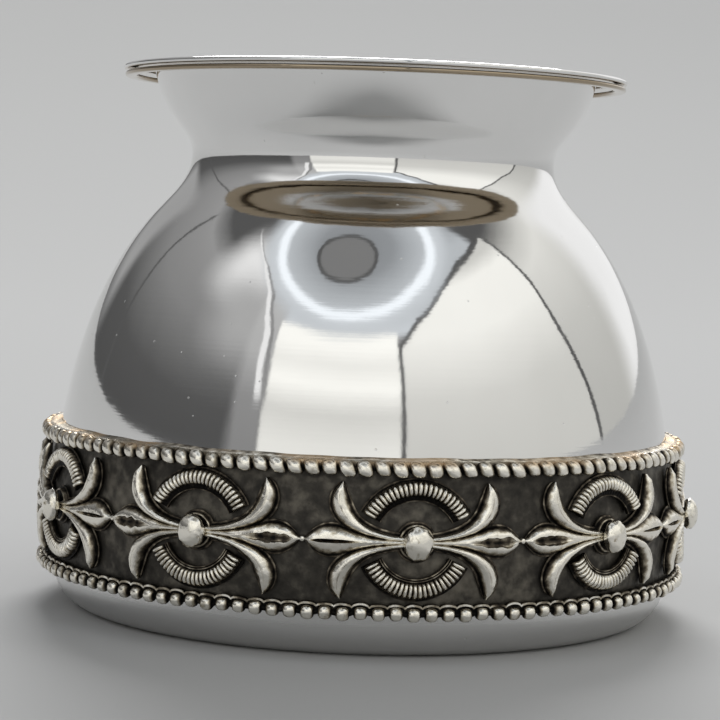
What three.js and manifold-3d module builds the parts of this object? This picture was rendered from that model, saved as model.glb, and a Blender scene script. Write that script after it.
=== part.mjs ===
// A small silver ghee pot: a spun vessel with a flat flanged mouth, dressed with a soldered-on relief band.
// Millimetres, +Z up, origin at the centre of the base, one relief motif facing -Y.
import * as THREE from "three";
import { mergeVertices } from "three/addons/utils/BufferGeometryUtils.js";
import Module from "manifold-3d";

const wasm = await Module();
wasm.setup();

// Vessel: outer radii with the heights at which they are met, and the wall's lean from upright there.
const POT_HEIGHT = 57.4;
const BASE_RADIUS = 29.4; // flat that the pot stands on
const HEEL_RADIUS = 3.6; // rounding between base and wall
const BELLY_SWELL = 0.3; // how far the widest point stands out past the heel
const BELLY_HEIGHT = 10.1;
const SHOULDER_RADIUS = 23.6; // where the belly's outward curve turns into the neck's hollow one
const SHOULDER_DROP = 6.8; // below the narrowest point
const SHOULDER_LEAN = THREE.MathUtils.degToRad(-40.5);
const NECK_RADIUS = 19.5; // narrowest point
const NECK_DEPTH = 9.1; // of the narrowest point below the rim
const THROAT_LEAN = THREE.MathUtils.degToRad(14);
const WALL = 0.65; // silver sheet
const FLANGE_RADIUS = 27.0;
const FLANGE_WIDTH = 3.3; // from the throat, where the flared neck meets the flange, to the edge
const FLANGE_THICKNESS = 0.5;
const FLANGE_EDGE_EASE = 0.12; // how far the flange's edge is rounded back
const THROAT_FILLET = 0.5; // rounding between the inner neck and the top of the flange

const BELLY_RADIUS = BASE_RADIUS + HEEL_RADIUS + BELLY_SWELL;
const NECK_HEIGHT = POT_HEIGHT - NECK_DEPTH;
const SHOULDER_HEIGHT = NECK_HEIGHT - SHOULDER_DROP;
const THROAT_RADIUS = FLANGE_RADIUS - FLANGE_WIDTH;

// How long the wall keeps its direction below and above each of those points: the pulls of its curve, as
// shares of the distance to the next point.
const HEEL_PULL = 0.338;
const BELLY_PULL = { below: 0.338, above: 0.286 };
const SHOULDER_PULL = { below: 0.347, above: 0.39 };
const NECK_PULL = { below: 0.365, above: 0.272 };
const THROAT_PULL = 0.637;

// Stiffening wire under the flange edge.
const LIP_WIRE_WIDTH = 1.3;
const LIP_WIRE_THICKNESS = 0.5;
const LIP_WIRE_INSET = 0.12; // how far the wire stays inside the flange edge
const LIP_WIRE_ROUNDING = 0.15;

// Relief band.
const BAND_HEIGHT = 11.7; // middle of the band
const SEAT = 0.2; // clearance between soldered pieces
const STRIP_THICKNESS = 0.5;
const STRIP_HEIGHT = 14.3;
const STRIP_SEAM = 0.3; // butt joint of the wrapped strip
const SEAM_CUT_MARGIN = 2; // how far the cut for that joint reaches past the strip
const BEAD_COUNT = 128;
const BEAD_HALF_HEIGHT = 0.82;
const BEAD_OVERHANG = 0.5; // how far each beaded wire stands past the strip's edge
const BEAD_RISE = 1.15; // how far a bead stands off the strip
const BEAD_NECK = 0.6; // size of the wire between two beads, as a share of the bead
const BEAD_FACE_RISE = 0.9; // a bead's face stands at this share of its rise
const BEAD_FACE_HEIGHT = 0.55; // and is this share of its height
const MOTIF_COUNT = 10;

// One motif, in its own flat measure: u along the band, v up, w out from the strip.
const HUB_RADIUS = 1.7;
const HUB_THICKNESS = 0.55;
const BOSS_RADIUS = 1.35;
const BOSS_RISE = 1.45; // above the hub
const BOSS_FOOT_ANGLE = THREE.MathUtils.degToRad(35); // how far below its widest ring a boss is cut flat
const PETAL_ROOT = 1.2; // distance from the motif centre where each petal starts, inside the hub
const PETAL_ROOT_RISE = 0.44;
const PETAL_STEM_HALF_WIDTH = 0.2;
const PETAL_TIP_HALF_WIDTH = 0.08;
const PETAL_TIP_RISE = 0.4;
const PETAL_END_SHARE = 0.8; // height of a petal's ridge near its ends, as a share of its full height
const PETAL_FULLEST = 0.74; // share of the way along at which a petal is widest
const LEAF_RISE = 1.1;
const LEAF_SWELL = 0.74; // half width that a leaf gains over its stem
const LEAF_ROOT_OFFSET = 0.3; // how far above or below the lobe each leaf leaves the hub
const LEAF_FIRST_PULL = [5.2, 0.55]; // the two points that bow a leaf's curve
const LEAF_SECOND_PULL = [8.2, 2.3];
const LEAF_TIP_REACH = 7.0;
const LEAF_TIP_GAP = 0.46; // between a leaf's tip and the beads
const LOBE_GAP = 0.28; // between a lobe's tip and the middle between two motifs
const LOBE_RISE = 1.05;
const LOBE_SWELL = 1.28;
const CRESCENT_WIDTH = 1.95;
const CRESCENT_RISE = 1.0;
const CRESCENT_EDGE_RISE = 0.8; // height at the inner edge of a crescent's crown
const CRESCENT_CROWN_START = 0.3; // where the crown starts and ends, as shares of the width
const CRESCENT_CROWN_END = 0.65;
const UPPER_CRESCENT = { side: 1, beadGap: 0.21, halfSpan: THREE.MathUtils.degToRad(58) };
const LOWER_CRESCENT = { side: -1, beadGap: 0.56, halfSpan: THREE.MathUtils.degToRad(64) };

// Fineness of the faceted solids.
const TURN_STEPS = 54;
const HEEL_STEPS = 4;
const BELLY_STEPS = 2;
const SHOULDER_STEPS = 7;
const NECK_STEPS = 5;
const THROAT_STEPS = 5;
const WALL_SAMPLES = 100; // of each span, for finding the wall's radius at a height
const STRIP_LEVELS = 3;
const PETAL_STEPS = 8;
const CRESCENT_STEPS = 10;
const HUB_SIDES = 12;
const BOSS_STEPS = 4;
const WELD = 1e-3; // points closer than this are one point

const POLISHED = { color: 0xe9e7e2, roughness: 0.12, metalness: 1.0 };
const BRIGHT_RELIEF = { color: 0xcfc9bb, roughness: 0.3, metalness: 1.0 };
const OXIDISED = { color: 0x3a3632, roughness: 0.5, metalness: 0.9 };

const pot = new THREE.Group();

function addPiece(name, geometry, look, turn = 0) {
  const mesh = new THREE.Mesh(geometry, new THREE.MeshStandardMaterial(look));
  mesh.name = name;
  mesh.rotation.z = turn;
  pot.add(mesh);
}

// Turns a closed outline of [radius, height] pairs round the Z axis.
function turned(outline) {
  const points = outline.map(([r, z]) => new THREE.Vector2(r, z));
  return new THREE.LatheGeometry(points, TURN_STEPS).rotateX(Math.PI / 2);
}

// A geometry's closed surface as a solid that can be joined and cut.
function toSolid(geometry) {
  const bare = new THREE.BufferGeometry();
  bare.setAttribute("position", geometry.getAttribute("position"));
  if (geometry.index) bare.setIndex(geometry.index);
  const merged = mergeVertices(bare, WELD);
  return new wasm.Manifold(
    new wasm.Mesh({
      numProp: 3,
      vertProperties: new Float32Array(merged.attributes.position.array),
      triVerts: new Uint32Array(merged.index.array),
    }),
  );
}

function toGeometry(solid) {
  const mesh = solid.getMesh();
  const made = new THREE.BufferGeometry();
  made.setAttribute("position", new THREE.BufferAttribute(new Float32Array(mesh.vertProperties), 3));
  made.setIndex(new THREE.BufferAttribute(new Uint32Array(mesh.triVerts), 1));
  made.computeVertexNormals();
  return made;
}

// Turns a body whose faces look inwards the right way out.
function facingOut(geometry) {
  if (toSolid(geometry).volume() > 0) return geometry;
  const made = geometry.clone();
  const index = made.index.array;
  for (let i = 0; i < index.length; i += 3) {
    [index[i + 1], index[i + 2]] = [index[i + 2], index[i + 1]];
  }
  return made;
}

// Skins a closed body over rings of points. Each ring runs the same way round, and fans close the ends.
function skinned(rings, closed) {
  const sides = rings[0].length;
  const faces = [];
  const last = closed ? rings.length : rings.length - 1;
  for (let i = 0; i < last; i++) {
    const a = i * sides;
    const b = ((i + 1) % rings.length) * sides;
    for (let j = 0; j < sides; j++) {
      const k = (j + 1) % sides;
      faces.push(a + j, b + j, b + k, a + j, b + k, a + k);
    }
  }
  if (!closed) {
    const end = (rings.length - 1) * sides;
    for (let j = 1; j < sides - 1; j++) {
      faces.push(0, j, j + 1);
      faces.push(end, end + j + 1, end + j);
    }
  }
  const made = new THREE.BufferGeometry();
  made.setAttribute("position", new THREE.Float32BufferAttribute(rings.flat(2), 3));
  made.setIndex(faces);
  made.computeVertexNormals();
  return facingOut(made);
}

// The wall's outer face from the top of the heel to where the neck meets the flange. Each point names the
// lean of the wall there and the pulls of the two spans that meet in it.
const FLANGE_UNDERSIDE = POT_HEIGHT - FLANGE_THICKNESS;
const heelEnd = { r: BASE_RADIUS + HEEL_RADIUS, z: HEEL_RADIUS, lean: 0, above: HEEL_PULL };
const belly = { r: BELLY_RADIUS, z: BELLY_HEIGHT, lean: 0, ...BELLY_PULL };
const shoulder = { r: SHOULDER_RADIUS, z: SHOULDER_HEIGHT, lean: SHOULDER_LEAN, ...SHOULDER_PULL };
const neck = { r: NECK_RADIUS, z: NECK_HEIGHT, lean: 0, ...NECK_PULL };
const throat = { r: THROAT_RADIUS, z: FLANGE_UNDERSIDE, lean: THROAT_LEAN, below: THROAT_PULL };

// A point on the wall's tangent at one of those points.
function pulled({ r, z, lean }, pull) {
  return new THREE.Vector2(r + pull * Math.sin(lean), z + pull * Math.cos(lean));
}

function wallSpan(from, to, steps) {
  const span = Math.hypot(to.r - from.r, to.z - from.z);
  const curve = new THREE.CubicBezierCurve(
    pulled(from, 0),
    pulled(from, from.above * span),
    pulled(to, -to.below * span),
    pulled(to, 0),
  );
  return { curve, steps };
}

const wall = [
  wallSpan(heelEnd, belly, BELLY_STEPS),
  wallSpan(belly, shoulder, SHOULDER_STEPS),
  wallSpan(shoulder, neck, NECK_STEPS),
  wallSpan(neck, throat, THROAT_STEPS),
];
const heelSamples = heelArc(HEEL_RADIUS).map(([r, z]) => new THREE.Vector2(r, z));
const wallSamples = [...heelSamples, ...wall.flatMap(({ curve }) => curve.getPoints(WALL_SAMPLES))];

// Outer radius of the vessel's wall at a height.
function wallRadius(z) {
  const place = wallSamples.findIndex((point) => point.y >= z);
  const above = wallSamples[place];
  const below = wallSamples[place - 1];
  const share = (z - below.y) / (above.y - below.y);
  return THREE.MathUtils.lerp(below.x, above.x, share);
}

// A quarter round from the flat of the base to the foot of the wall.
function heelArc(radius) {
  const arc = [];
  for (let i = 0; i <= HEEL_STEPS; i++) {
    const a = (i / HEEL_STEPS) * (Math.PI / 2);
    arc.push([BASE_RADIUS + radius * Math.sin(a), HEEL_RADIUS - radius * Math.cos(a)]);
  }
  return arc;
}

function potBody() {
  const outer = [[0, 0], ...heelArc(HEEL_RADIUS)];
  const inner = [[0, WALL], ...heelArc(HEEL_RADIUS - WALL)];
  for (const { curve, steps } of wall) {
    for (let i = 1; i <= steps; i++) {
      const p = curve.getPoint(i / steps);
      const t = curve.getTangent(i / steps);
      outer.push([p.x, p.y]);
      inner.push([p.x - t.y * WALL, p.y + t.x * WALL]); // moved in by the sheet's thickness
    }
  }
  const mouth = THROAT_RADIUS - WALL;
  const corner = THROAT_FILLET * (1 - Math.SQRT1_2);
  inner[inner.length - 1] = [mouth, FLANGE_UNDERSIDE];
  inner.push([mouth + corner, POT_HEIGHT - corner]);
  inner.push([mouth + THROAT_FILLET, POT_HEIGHT]);
  const flangeEdge = [
    [FLANGE_RADIUS - FLANGE_EDGE_EASE, FLANGE_UNDERSIDE],
    [FLANGE_RADIUS, FLANGE_UNDERSIDE + 0.5 * FLANGE_THICKNESS],
    [FLANGE_RADIUS - FLANGE_EDGE_EASE, POT_HEIGHT],
  ];
  return turned([...outer, ...flangeEdge, ...inner.reverse()]);
}

function lipWire() {
  const top = FLANGE_UNDERSIDE - SEAT;
  const bottom = top - LIP_WIRE_THICKNESS;
  const outside = FLANGE_RADIUS - LIP_WIRE_INSET;
  const inside = outside - LIP_WIRE_WIDTH;
  const outline = [
    [inside, bottom + LIP_WIRE_ROUNDING],
    [inside + LIP_WIRE_ROUNDING, bottom],
    [outside - LIP_WIRE_ROUNDING, bottom],
    [outside, bottom + LIP_WIRE_ROUNDING],
    [outside, top - LIP_WIRE_ROUNDING],
    [outside - LIP_WIRE_ROUNDING, top],
    [inside, top],
  ];
  return facingOut(turned([...outline, outline[0]]));
}

// Outer face of the strip at a height.
function stripRadius(z) {
  return wallRadius(z) + SEAT + STRIP_THICKNESS;
}

// The backing strip: a sheet ring that follows the wall, cut through at its butt joint.
function bandStrip() {
  const outside = [];
  const inside = [];
  for (let i = 0; i <= STRIP_LEVELS; i++) {
    const z = BAND_HEIGHT + (i / STRIP_LEVELS - 0.5) * STRIP_HEIGHT;
    outside.push([stripRadius(z), z]);
    inside.push([stripRadius(z) - STRIP_THICKNESS, z]);
  }
  const ring = toSolid(turned([...outside, ...inside.reverse(), outside[0]]));
  const cutter = new THREE.BoxGeometry(
    STRIP_SEAM,
    STRIP_THICKNESS + 2 * SEAM_CUT_MARGIN,
    STRIP_HEIGHT + 2 * SEAM_CUT_MARGIN,
  );
  cutter.translate(0, -BELLY_RADIUS, BAND_HEIGHT);
  cutter.rotateZ(Math.PI - Math.PI / MOTIF_COUNT); // at the back, between two motifs
  return toGeometry(ring.subtract(toSolid(cutter)));
}

// A ring of half-round beads on a thinner wire, seated on the strip near its upper (1) or lower (-1) edge.
function beadedWire(side) {
  const z = BAND_HEIGHT + side * (STRIP_HEIGHT / 2 + BEAD_OVERHANG - BEAD_HALF_HEIGHT);
  const rings = [];
  for (let i = 0; i < 2 * BEAD_COUNT; i++) {
    const size = i % 2 === 0 ? 1 : BEAD_NECK;
    const half = BEAD_HALF_HEIGHT * size;
    const face = BEAD_FACE_RISE * BEAD_RISE * size;
    const a = (i * Math.PI) / BEAD_COUNT;
    const section = [
      [0, -half],
      [face, -BEAD_FACE_HEIGHT * half],
      [face, BEAD_FACE_HEIGHT * half],
      [0, half],
    ];
    rings.push(
      section.map(([out, up]) => {
        const r = stripRadius(z + up) + SEAT + out;
        return [r * Math.sin(a), -r * Math.cos(a), z + up];
      }),
    );
  }
  return skinned(rings, true);
}

// Height of the clear field between the band's middle and the beads, which the motif fills.
const FIELD_HALF_HEIGHT = STRIP_HEIGHT / 2 + BEAD_OVERHANG - 2 * BEAD_HALF_HEIGHT;

// Bends a point of the motif's flat measure onto the strip.
function onBand([u, v, w]) {
  const z = BAND_HEIGHT + v;
  const r = stripRadius(z) + SEAT + w;
  const a = u / stripRadius(BAND_HEIGHT);
  return [r * Math.sin(a), -r * Math.cos(a), z];
}

// A ridged petal along a flat curve: a thin stem that swells and closes to a point.
function petal(spine, swell, rise) {
  const swellPower = Math.log(0.5) / Math.log(PETAL_FULLEST);
  const rings = [];
  for (let i = 0; i <= PETAL_STEPS; i++) {
    const t = i / PETAL_STEPS;
    const p = spine.getPoint(t);
    const d = spine.getTangent(t);
    const thin = THREE.MathUtils.lerp(PETAL_STEM_HALF_WIDTH, PETAL_TIP_HALF_WIDTH, t);
    const half = thin + swell * Math.sin(Math.PI * t ** swellPower);
    let ridge = rise * THREE.MathUtils.lerp(PETAL_END_SHARE, 1, Math.sin(Math.PI * t));
    if (i === 0) ridge = PETAL_ROOT_RISE;
    if (i === PETAL_STEPS) ridge = PETAL_TIP_RISE;
    rings.push([
      onBand([p.x - d.y * half, p.y + d.x * half, 0]),
      onBand([p.x, p.y, ridge]),
      onBand([p.x + d.y * half, p.y - d.x * half, 0]),
    ]);
  }
  return skinned(rings, false);
}

function curvedLeaf(across, up) {
  const tip = [LEAF_TIP_REACH, FIELD_HALF_HEIGHT - LEAF_TIP_GAP];
  const pulls = [[PETAL_ROOT, LEAF_ROOT_OFFSET], LEAF_FIRST_PULL, LEAF_SECOND_PULL, tip];
  const spine = new THREE.CubicBezierCurve(...pulls.map(([u, v]) => new THREE.Vector2(across * u, up * v)));
  return petal(spine, LEAF_SWELL, LEAF_RISE);
}

function lobe(across) {
  const reach = (Math.PI * stripRadius(BAND_HEIGHT)) / MOTIF_COUNT - LOBE_GAP;
  const start = new THREE.Vector2(across * PETAL_ROOT, 0);
  const tip = new THREE.Vector2(across * reach, 0);
  return petal(new THREE.LineCurve(start, tip), LOBE_SWELL, LOBE_RISE);
}

function hubDisc() {
  const rings = [0, HUB_THICKNESS].map((w) => {
    const ring = [];
    for (let i = 0; i < HUB_SIDES; i++) {
      const a = (2 * Math.PI * i) / HUB_SIDES;
      ring.push(onBand([HUB_RADIUS * Math.cos(a), HUB_RADIUS * Math.sin(a), w]));
    }
    return ring;
  });
  return skinned(rings, false);
}

// Four curved leaves and two pointed lobes round a hub, joined as one cast piece.
function leafCross() {
  const forms = [hubDisc()];
  for (const across of [-1, 1]) {
    forms.push(curvedLeaf(across, 1), curvedLeaf(across, -1), lobe(across));
  }
  return toGeometry(forms.map(toSolid).reduce((all, form) => all.add(form)));
}

// A round granule with a flat back, turned about -Y and seated on the hub.
function boss() {
  const halfHeight = BOSS_RISE / (1 + Math.sin(BOSS_FOOT_ANGLE));
  const outline = [new THREE.Vector2(0, 0)];
  for (let i = 0; i <= BOSS_STEPS; i++) {
    const a = THREE.MathUtils.lerp(-BOSS_FOOT_ANGLE, Math.PI / 2, i / BOSS_STEPS);
    const out = halfHeight * (Math.sin(a) + Math.sin(BOSS_FOOT_ANGLE));
    outline.push(new THREE.Vector2(BOSS_RADIUS * Math.cos(a), out));
  }
  const seat = stripRadius(BAND_HEIGHT) + SEAT + HUB_THICKNESS + SEAT;
  const made = new THREE.LatheGeometry(outline, HUB_SIDES);
  made.rotateX(Math.PI);
  made.translate(0, -seat, BAND_HEIGHT);
  return facingOut(made);
}

// A crowned arc of the ring behind the leaves, above (side 1) or below (side -1) the hub.
function crescent({ side, beadGap, halfSpan }) {
  const outer = FIELD_HALF_HEIGHT - beadGap;
  const section = [
    [0, 0],
    [CRESCENT_CROWN_START, CRESCENT_EDGE_RISE],
    [CRESCENT_CROWN_END, CRESCENT_RISE],
    [1, 0],
  ];
  const rings = [];
  for (let i = 0; i <= CRESCENT_STEPS; i++) {
    const a = (side * Math.PI) / 2 + halfSpan * (1 - (2 * i) / CRESCENT_STEPS);
    rings.push(
      section.map(([share, w]) => {
        const r = outer - (1 - share) * CRESCENT_WIDTH;
        return onBand([r * Math.cos(a), r * Math.sin(a), w]);
      }),
    );
  }
  return skinned(rings, false);
}

addPiece("pot_body", potBody(), POLISHED);
addPiece("lip_wire", lipWire(), POLISHED);
addPiece("band_strip", bandStrip(), OXIDISED);
addPiece("upper_beaded_wire", beadedWire(1), BRIGHT_RELIEF);
addPiece("lower_beaded_wire", beadedWire(-1), BRIGHT_RELIEF);

const motif = {
  leaf_cross: leafCross(),
  boss: boss(),
  upper_crescent: crescent(UPPER_CRESCENT),
  lower_crescent: crescent(LOWER_CRESCENT),
};
for (let i = 0; i < MOTIF_COUNT; i++) {
  const number = String(i + 1).padStart(2, "0");
  for (const [name, geometry] of Object.entries(motif)) {
    addPiece(name + "_" + number, geometry, BRIGHT_RELIEF, (2 * Math.PI * i) / MOTIF_COUNT);
  }
}

export default pot;
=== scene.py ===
"""The looks of a small silver ghee pot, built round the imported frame. Blender 4.5, metres, +Z up."""

import math
import random

import bmesh
import bpy
from mathutils import Matrix, Vector, noise

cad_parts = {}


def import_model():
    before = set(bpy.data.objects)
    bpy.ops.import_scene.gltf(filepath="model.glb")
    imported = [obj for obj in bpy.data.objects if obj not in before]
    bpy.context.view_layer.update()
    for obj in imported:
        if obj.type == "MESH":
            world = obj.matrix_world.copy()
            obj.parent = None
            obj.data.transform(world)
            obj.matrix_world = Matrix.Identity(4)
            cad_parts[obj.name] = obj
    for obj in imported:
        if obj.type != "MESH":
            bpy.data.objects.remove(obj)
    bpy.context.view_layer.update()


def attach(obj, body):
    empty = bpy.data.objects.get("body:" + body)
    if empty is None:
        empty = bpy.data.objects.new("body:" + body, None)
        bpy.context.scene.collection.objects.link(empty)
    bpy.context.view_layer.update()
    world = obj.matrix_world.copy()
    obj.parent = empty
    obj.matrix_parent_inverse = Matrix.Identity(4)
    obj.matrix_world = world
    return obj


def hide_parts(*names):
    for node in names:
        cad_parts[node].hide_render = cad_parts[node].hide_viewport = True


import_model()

MM = 0.001

# Vessel sizes in millimetres, as the frame's solids have them.
POT_HEIGHT = 57.4
BASE_RADIUS = 29.4
HEEL_RADIUS = 3.6
BELLY_SWELL = 0.3  # how far the widest point stands out past the heel
BELLY_HEIGHT = 10.1
SHOULDER_RADIUS = 23.6
SHOULDER_DROP = 6.8  # below the neck's narrowest point
SHOULDER_LEAN = math.radians(-40.5)
NECK_RADIUS = 19.5
NECK_DEPTH = 9.1  # of the narrowest point below the rim
THROAT_LEAN = math.radians(14)
THROAT_FILLET = 0.5
WALL = 0.65
FLANGE_RADIUS = 27.0
FLANGE_WIDTH = 3.3
FLANGE_THICKNESS = 0.5
LIP_WIRE_WIDTH = 1.3
LIP_WIRE_THICKNESS = 0.5
LIP_WIRE_INSET = 0.12

BELLY_RADIUS = BASE_RADIUS + HEEL_RADIUS + BELLY_SWELL
NECK_HEIGHT = POT_HEIGHT - NECK_DEPTH
SHOULDER_HEIGHT = NECK_HEIGHT - SHOULDER_DROP
THROAT_RADIUS = FLANGE_RADIUS - FLANGE_WIDTH
FLANGE_UNDERSIDE = POT_HEIGHT - FLANGE_THICKNESS

# How far the wall's tangents pull its curves, as shares of the distance between a curve's two ends.
HEEL_PULL = 0.338
BELLY_PULL_BELOW = 0.338
BELLY_PULL_ABOVE = 0.286
SHOULDER_PULL_BELOW = 0.347
SHOULDER_PULL_ABOVE = 0.39
NECK_PULL_BELOW = 0.365
NECK_PULL_ABOVE = 0.272
THROAT_PULL = 0.637

# Band sizes in millimetres.
BAND_HEIGHT = 11.7  # middle of the band
SEAT = 0.2  # clearance between soldered pieces
STRIP_THICKNESS = 0.5
STRIP_HEIGHT = 14.3
STRIP_SEAM = 0.3
STRIP_DIP = 0.05  # how unevenly the strip's ground lies
BEAD_COUNT = 128
BEAD_INSET = 6.83  # from the band's middle to each beaded wire
LOWER_BEAD_DROP = 0.1  # how much further down the lower beads lie
SOLDER_GAP = 0.03  # between the solder line and what it runs over
MOTIF_COUNT = 10
HUB_RADIUS = 1.7
HUB_THICKNESS = 0.55
BOSS_RADIUS = 1.35
BOSS_RISE = 1.45
BOSS_FOOT_ANGLE = math.radians(35)
LEAF_PULLS = [(1.2, 0.3), (5.2, 0.55), (8.2, 2.3), (7.0, 5.55)]
LEAF_SWELL = 0.74
LEAF_RISE = 1.1
LOBE_REACH = 10.5
LOBE_SWELL = 1.28
LOBE_RISE = 1.05
STEM_HALF_WIDTH = 0.28
STEM_TAPER = 0.2  # half width that a petal's stem loses on its way to the tip
PLATE_RISE = 0.16  # thin plate that shows round the petals and the ribbed arcs
PLATE_REACH = 0.28
PETAL_WAVE = 0.05  # how uneven the petals' surfaces are
RIB_DEPTH = 0.42
UPPER_RIBS = 24
LOWER_RIBS = 23
UPPER_HALF_SPAN = 62  # degrees of the ribbed arc to each side of its middle
LOWER_HALF_SPAN = 64
BEAD_LIFT = 0.14  # between the highest and the lowest bead of a wire
BEAD_AXIS = 0.52  # how far a full bead's axis stands off the strip
BEAD_HALF_DEPTH = 0.62

# Shapes and wear of the petals, granules and beads, as shares.
SWELL_POWER = 2.3  # puts a petal's widest place near its tip
LEAF_BLUNT = 0.8  # below 1, a petal stays wide for longer
LOBE_BLUNT = 1.0
CLOSED_SLIT = 0.07  # half width of the groove along a closed ridge, as a share of the petal's
LOBE_SLITS = (0.14, 0.26, 0.36)  # and of the open slits of the lobes
COLLAR_LUMP = 0.015
BOSS_LUMP = 0.1
BOSS_TALL = 1.2
BEAD_SHRINK = 0.14  # what a bead can lose of its girth
BEAD_WEAR = 0.2  # and of its polish

# Starting points of the random draws. The motifs count on from theirs.
UPPER_BEADS_SEED = 3
LOWER_BEADS_SEED = 4
SOLDER_SEED = 5
SCALLOP_SEED = 6
LEAF_SEED = 100
BOSS_SEED = 200
UPPER_ARC_SEED = 300
LOWER_ARC_SEED = 400
PATTERN_REACH = 40  # how far apart the noise of two petals can lie
BOSS_PATTERN_STEP = 3.7  # how far apart the noise of two granules lies

# Fineness of the meshes.
TURN_STEPS = 240
HEEL_STEPS = 10
EDGE_STEPS = 8
FILLET_STEPS = 5
STRIP_STEPS = 480
STRIP_LEVELS = 24
STRIP_INSIDE_EVERY = 6
BEAD_SIDES = 18
PETAL_STEPS = 32
COLLAR_SIDES = 40
DOT_SIDES = 12
BOSS_SIDES = 36
BOSS_STEPS = 18
RIB_STEPS = 8
CREASE = math.radians(38)  # edges sharper than this stay crisp


def shares(steps):
    """Evenly spaced shares from 0 to 1."""
    return [i / steps for i in range(steps + 1)]


def bezier(pulls, t):
    """A point of the cubic curve that four points pull."""
    u = 1 - t
    weights = (u**3, 3 * t * u * u, 3 * t * t * u, t**3)
    return tuple(sum(w * p[k] for w, p in zip(weights, pulls)) for k in range(2))


def ease(low, high, value):
    """0 below low and 1 above high, smooth between."""
    t = min(1.0, max(0.0, (value - low) / (high - low)))
    return t * t * (3 - 2 * t)


def pulled(point, pull):
    """A point on the wall's tangent, at one of the points that the wall runs through."""
    r, z, lean = point
    return (r + pull * math.sin(lean), z + pull * math.cos(lean))


def wall_span(start, rise, end, fall, steps):
    """The wall from one of those points to the next; rise and fall are the pulls at its two ends."""
    length = math.hypot(end[0] - start[0], end[1] - start[1])
    pulls = (pulled(start, 0), pulled(start, rise * length), pulled(end, -fall * length), pulled(end, 0))
    return [bezier(pulls, share) for share in shares(steps)[1:]]


heel_end = (BASE_RADIUS + HEEL_RADIUS, HEEL_RADIUS, 0.0)
belly = (BELLY_RADIUS, BELLY_HEIGHT, 0.0)
shoulder = (SHOULDER_RADIUS, SHOULDER_HEIGHT, SHOULDER_LEAN)
neck = (NECK_RADIUS, NECK_HEIGHT, 0.0)
throat = (THROAT_RADIUS, FLANGE_UNDERSIDE, THROAT_LEAN)
wall_curve = [pulled(heel_end, 0)]
wall_curve += wall_span(heel_end, HEEL_PULL, belly, BELLY_PULL_BELOW, steps=8)
wall_curve += wall_span(belly, BELLY_PULL_ABOVE, shoulder, SHOULDER_PULL_BELOW, steps=44)
wall_curve += wall_span(shoulder, SHOULDER_PULL_ABOVE, neck, NECK_PULL_BELOW, steps=22)
wall_curve += wall_span(neck, NECK_PULL_ABOVE, throat, THROAT_PULL, steps=22)


def wall_radius(z):
    """Outer radius of the vessel at a height in millimetres."""
    for low, high in zip(wall_curve, wall_curve[1:]):
        if high[1] >= z:
            share = (z - low[1]) / (high[1] - low[1])
            return low[0] + share * (high[0] - low[0])
    return wall_curve[-1][0]


def strip_radius(z):
    """Outer radius of the backing strip at a height in millimetres."""
    return wall_radius(z) + SEAT + STRIP_THICKNESS


BAND_RADIUS = strip_radius(BAND_HEIGHT)
BEAD_PITCH = 2 * math.pi * BAND_RADIUS / BEAD_COUNT


def around(r, a, z):
    """A point at a radius and a height in millimetres, turned from -Y towards +X."""
    return (r * math.sin(a) * MM, -r * math.cos(a) * MM, z * MM)


def on_band(u, v, w):
    """Bends a point of the band's flat measure, in millimetres, onto the strip: u along, v up, w out."""
    z = BAND_HEIGHT + v
    return around(strip_radius(z) + SEAT + w, u / BAND_RADIUS, z)


def add_object(name, data):
    made = bpy.data.objects.new(name, data)
    bpy.context.scene.collection.objects.link(made)
    return made


def make_object(name, points, faces, polish_and_shade=None):
    """A closed mesh object. Polish is a number per point, 0 in a dark crevice and 1 where rubbed bright:
    partly the patina in the hollows and partly painted shade in crevices, between parts and under them.
    """
    mesh = bpy.data.meshes.new(name)
    mesh.from_pydata(points, [], faces)
    work = bmesh.new()
    work.from_mesh(mesh)
    bmesh.ops.recalc_face_normals(work, faces=work.faces)
    work.to_mesh(mesh)
    work.free()
    mesh.shade_smooth()
    mesh.set_sharp_from_angle(angle=CREASE)
    if polish_and_shade is not None:
        values = mesh.attributes.new("polish_and_shade", "FLOAT", "POINT")
        values.data.foreach_set("value", polish_and_shade)
    return add_object(name, mesh)


def quads(rows, columns, close_rows, close_columns):
    """Faces between the points of a grid, whose last row or column can meet its first."""
    faces = []
    for i in range(rows if close_rows else rows - 1):
        for j in range(columns if close_columns else columns - 1):
            a = i * columns + j
            b = i * columns + (j + 1) % columns
            c = ((i + 1) % rows) * columns + (j + 1) % columns
            d = ((i + 1) % rows) * columns + j
            faces.append((a, b, c, d))
    return faces


def turned(name, outline, closed):
    """Turns an outline of (radius, height) in millimetres round Z; an open one has its ends on the axis."""
    ring = outline if closed else outline[1:-1]
    points = []
    for i in range(TURN_STEPS):
        a = 2 * math.pi * i / TURN_STEPS
        points += [around(r, a, z) for r, z in ring]
    faces = quads(TURN_STEPS, len(ring), True, closed)
    if not closed:
        first = len(points)
        points += [around(0, 0, outline[0][1]), around(0, 0, outline[-1][1])]
        for i in range(TURN_STEPS):
            a = i * len(ring)
            b = ((i + 1) % TURN_STEPS) * len(ring)
            faces.append((first, b, a))
            faces.append((first + 1, a + len(ring) - 1, b + len(ring) - 1))
    return make_object(name, points, faces)


def arc(centre, radius, start, end, steps):
    """Points of (radius, height) on an arc, its angles in degrees from outwards towards up."""
    angles = [math.radians(start + (end - start) * share) for share in shares(steps)]
    return [(centre[0] + radius * math.cos(a), centre[1] + radius * math.sin(a)) for a in angles]


def wall_inside():
    """The inside of the wall above the heel, one sheet's thickness in from the outside."""
    points = []
    for i in range(len(wall_curve) - 1):
        low = wall_curve[max(i - 1, 0)]
        high = wall_curve[i + 1]
        run = math.hypot(high[0] - low[0], high[1] - low[1])
        r = wall_curve[i][0] - WALL * (high[1] - low[1]) / run
        z = wall_curve[i][1] + WALL * (high[0] - low[0]) / run
        points.append((r, z))
    return points


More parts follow.
